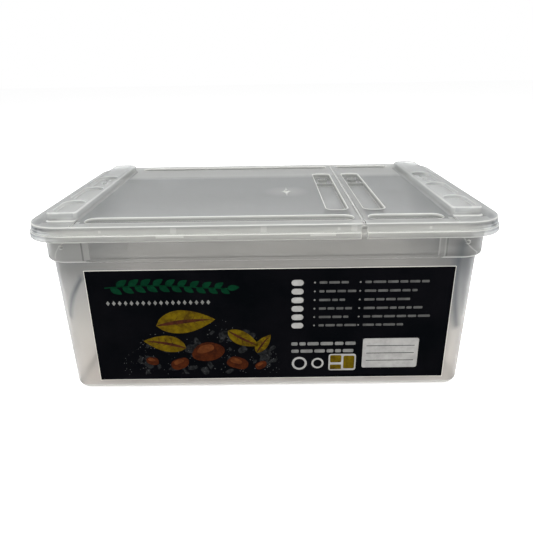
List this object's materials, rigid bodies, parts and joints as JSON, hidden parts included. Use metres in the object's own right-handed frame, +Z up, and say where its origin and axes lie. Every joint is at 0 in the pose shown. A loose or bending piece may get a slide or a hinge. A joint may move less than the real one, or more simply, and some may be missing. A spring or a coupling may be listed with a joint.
{
  "type": "reptile breeding tub",
  "caption": "Small clear plastic tub with tapered walls, a shoulder and a snap lid whose right end folds open on a thin hinge line, and a dark printed sticker on the front",
  "frame": {"origin": "middle of the closed tub's footprint, on the surface that the tub stands on", "axes": "+X to the right along the length, towards the flap; +Y to the rear, away from the sticker; +Z up"},
  "size_m": [0.15, 0.1, 0.065],
  "materials": {
    "tub_plastic": "clear-grey polypropylene, lightly frosted inside, satin",
    "lid_plastic": "clear-grey polypropylene, satin top face",
    "hinge_film": "the same polypropylene, thin and slightly whitened by bending",
    "label_film": "printed satin film, near-black ground"
  },
  "bodies": {
    "tub": {"tub": "tub_plastic", "front_label": "label_film"},
    "lid": {"lid_panel": "lid_plastic", "living_hinge": "hinge_film"},
    "flap": {"lid_flap": "lid_plastic"}
  },
  "joints": [
    {"name": "lid_lift", "type": "slide", "parent": "tub", "child": "lid", "axis": [0, 0, 1], "range_m": [0, 0.08]},
    {"name": "flap_hinge", "type": "hinge", "parent": "lid", "child": "flap", "pos_m": [0.0304, 0, 0.062], "axis": [0, -1, 0], "range_deg": [0, 170], "deforming": ["living_hinge"]}
  ]
}
